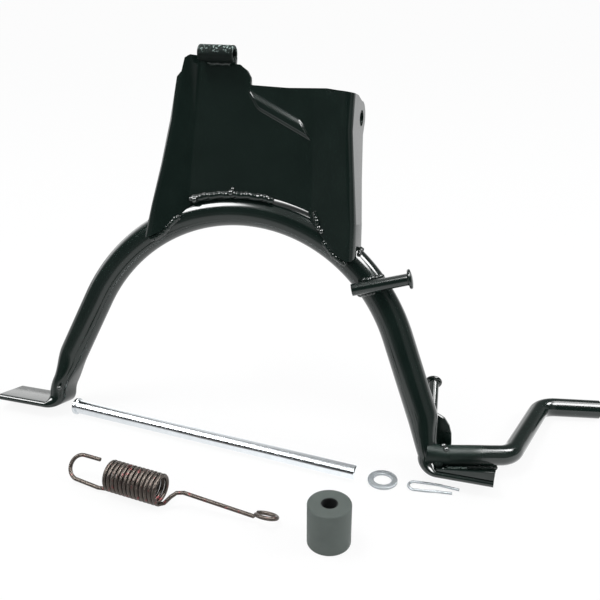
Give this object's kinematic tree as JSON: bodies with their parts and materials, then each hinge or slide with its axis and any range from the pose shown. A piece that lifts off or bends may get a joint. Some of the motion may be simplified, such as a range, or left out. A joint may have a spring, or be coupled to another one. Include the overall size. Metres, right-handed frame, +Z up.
{
  "type": "motorcycle centre stand",
  "caption": "Black tubular centre stand with a folded pivot bracket, flattened feet and a bent kick lever, with pivot pin, washer, split pin, return spring and stop rubber.",
  "frame": {"origin": "on the floor, below the centre of the bounding box", "axes": "+X towards the kick lever's side, +Y to the rear, the way that the stand leans, +Z up from the floor"},
  "size_m": [0.533, 0.259, 0.3228],
  "materials": {
    "black_enamel": "gloss black stoved enamel",
    "bright_zinc": "bright zinc plating",
    "spring_steel": "oiled drawn spring wire",
    "grey_rubber": "moulded rubber, matt"
  },
  "bodies": {
    "root": {"main_tube": "black_enamel", "bracket": "black_enamel", "stop_tube": "black_enamel", "spring_peg": "black_enamel", "kick_lever": "black_enamel", "lever_toe_plate": "black_enamel", "bumper_bracket": "black_enamel", "bumper_peg": "black_enamel", "weld_web": "black_enamel", "weld_fold_right": "black_enamel", "weld_lip_left": "black_enamel", "weld_lip_right": "black_enamel", "weld_flange_left": "black_enamel", "weld_flange_right": "black_enamel", "weld_stop_tube": "black_enamel", "weld_spring_peg_upper": "black_enamel", "weld_spring_peg_lower": "black_enamel", "weld_lever": "black_enamel", "weld_toe_plate": "black_enamel", "weld_bumper_bracket": "black_enamel", "pivot_pin": "bright_zinc", "pivot_washer": "bright_zinc", "split_pin": "bright_zinc", "return_spring": "spring_steel", "stop_rubber": "grey_rubber"}
  },
  "joints": []
}
